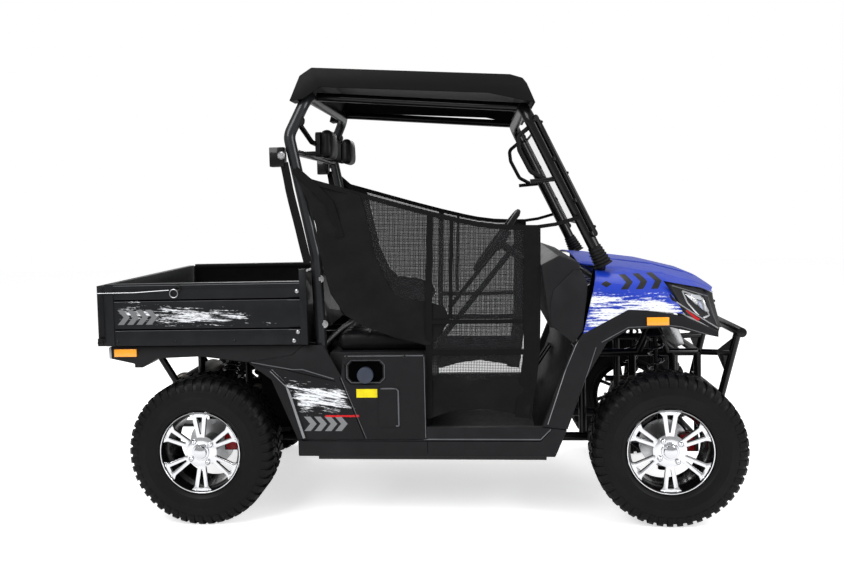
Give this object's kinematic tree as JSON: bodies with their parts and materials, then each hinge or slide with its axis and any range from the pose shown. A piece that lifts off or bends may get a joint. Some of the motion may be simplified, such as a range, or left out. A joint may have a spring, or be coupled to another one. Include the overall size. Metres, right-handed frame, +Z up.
{
  "type": "side by side utility vehicle",
  "caption": "Side by side utility vehicle with roll cage, hard roof, cargo bed that tilts, drop tailgate, steered front wheels and net doors.",
  "frame": {"origin": "on the ground under the middle of the overall box", "axes": "+X forwards, +Y to the vehicle's left, +Z up"},
  "size_m": [2.7019, 1.34, 1.876],
  "materials": {
    "frame_steel": "satin black paint",
    "bed_steel": "textured black powder coat",
    "cast_metal": "rough cast",
    "exhaust_steel": "heat dulled",
    "core_alloy": "bare fins",
    "blue_panel": "gloss",
    "dark_panel": "fine grain",
    "roof_plastic": "fine grain",
    "lamp_lens": "clear lens over a bright reflector",
    "amber_lens": "ribbed amber lens",
    "tail_lens": "red lens",
    "clear_screen": "clear",
    "seat_vinyl": "grained black vinyl",
    "net_fabric": "woven black",
    "tyre_rubber": "moulded",
    "wheel_alloy": "machined faces with black pockets",
    "grip_rubber": "moulded grip",
    "strut_steel": "polished rod"
  },
  "bodies": {
    "chassis": {"frame_base": "frame_steel", "rack_housing": "cast_metal", "drawbar": "frame_steel", "frame_rear": "frame_steel", "frame_front": "frame_steel", "front_arms": "frame_steel", "rear_arms": "frame_steel", "front_shocks": "frame_steel", "rear_shocks": "frame_steel", "rear_axle": "cast_metal", "engine_block": "cast_metal", "muffler": "exhaust_steel", "radiator": "core_alloy", "front_bumper": "frame_steel", "hood": "blue_panel", "front_fenders": "blue_panel", "front_flares": "dark_panel", "cowl_sides": "dark_panel", "front_fascia": "dark_panel", "headlights": "lamp_lens", "dashboard": "dark_panel", "steering_column": "frame_steel", "pedals": "frame_steel", "windscreen": "clear_screen", "screen_frame": "frame_steel", "rops_rear_hoop": "frame_steel", "rops_front_hoop": "frame_steel", "roof": "roof_plastic", "side_panels": "dark_panel", "sills": "dark_panel", "rear_fenders": "dark_panel", "seat_base": "dark_panel", "seat_cushions": "seat_vinyl", "seat_backs": "seat_vinyl", "headrests": "seat_vinyl", "seat_belts": "net_fabric", "tail_lamps": "tail_lens", "side_markers": "amber_lens", "fuel_cap": "dark_panel", "door_nets": "net_fabric", "grab_handles": "grip_rubber", "floor_pan": "dark_panel"},
    "bed": {"bed_tub": "bed_steel"},
    "tailgate": {"tailgate": "bed_steel"},
    "knuckle_left": {"knuckle_left": "cast_metal"},
    "knuckle_right": {"knuckle_right": "cast_metal"},
    "tie_rods": {"tie_rods": "frame_steel"},
    "steering_wheel": {"steering_wheel": "grip_rubber"},
    "strut_barrel": {"strut_barrel": "frame_steel"},
    "strut_rod": {"strut_rod": "strut_steel"},
    "wheel_rear_left": {"tyre_rear_left": "tyre_rubber", "rim_rear_left": "wheel_alloy"},
    "wheel_rear_right": {"tyre_rear_right": "tyre_rubber", "rim_rear_right": "wheel_alloy"},
    "wheel_front_left": {"tyre_front_left": "tyre_rubber", "rim_front_left": "wheel_alloy"},
    "wheel_front_right": {"tyre_front_right": "tyre_rubber", "rim_front_right": "wheel_alloy"}
  },
  "joints": [
    {"name": "bed_tilt", "type": "hinge", "parent": "chassis", "child": "bed", "pos_m": [-1.316, 0, 0.725], "axis": [0, -1, 0], "range_deg": [0, 45]},
    {"name": "tailgate_drop", "type": "hinge", "parent": "bed", "child": "tailgate", "pos_m": [-1.337, 0, 0.762], "axis": [0, -1, 0], "range_deg": [0, 90]},
    {"name": "strut_swing", "type": "hinge", "parent": "chassis", "child": "strut_barrel", "pos_m": [-0.591, 0.19, 0.64], "axis": [0, 1, 0], "range_deg": [0, 27.04]},
    {"name": "strut_slide", "type": "slide", "parent": "strut_barrel", "child": "strut_rod", "axis": [-0.9758, 0, 0.2185], "range_m": [0, 0.2249]},
    {"name": "steering", "type": "hinge", "parent": "chassis", "child": "steering_wheel", "pos_m": [0.329, 0.3, 1.117], "axis": [-0.794, 0, 0.608], "range_deg": [-270, 270]},
    {"name": "steer_left", "type": "hinge", "parent": "chassis", "child": "knuckle_left", "pos_m": [0.979, 0.44, 0.305], "axis": [0, 0, 1], "range_deg": [-29, 29]},
    {"name": "steer_right", "type": "hinge", "parent": "chassis", "child": "knuckle_right", "pos_m": [0.979, -0.44, 0.305], "axis": [0, 0, 1], "range_deg": [-29, 29]},
    {"name": "rack_slide", "type": "slide", "parent": "chassis", "child": "tie_rods", "axis": [0, -1, 0], "range_m": [-0.056, 0.056]},
    {"name": "roll_rear_left", "type": "hinge", "parent": "chassis", "child": "wheel_rear_left", "pos_m": [-0.921, 0.5, 0.305], "axis": [0, 1, 0], "continuous": true},
    {"name": "roll_rear_right", "type": "hinge", "parent": "chassis", "child": "wheel_rear_right", "pos_m": [-0.921, -0.5, 0.305], "axis": [0, 1, 0], "continuous": true},
    {"name": "roll_front_left", "type": "hinge", "parent": "knuckle_left", "child": "wheel_front_left", "pos_m": [0.979, 0.5, 0.305], "axis": [0, 1, 0], "continuous": true},
    {"name": "roll_front_right", "type": "hinge", "parent": "knuckle_right", "child": "wheel_front_right", "pos_m": [0.979, -0.5, 0.305], "axis": [0, 1, 0], "continuous": true}
  ],
  "couplings": [
    {"joint": "strut_swing", "follows": "bed_tilt", "ratio": 0.57863},
    {"joint": "strut_slide", "follows": "bed_tilt", "m_per_rad": 0.28384},
    {"joint": "steer_left", "follows": "steering", "ratio": 0.1037},
    {"joint": "steer_right", "follows": "steering", "ratio": 0.1037},
    {"joint": "rack_slide", "follows": "steering", "m_per_rad": 0.011457}
  ]
}
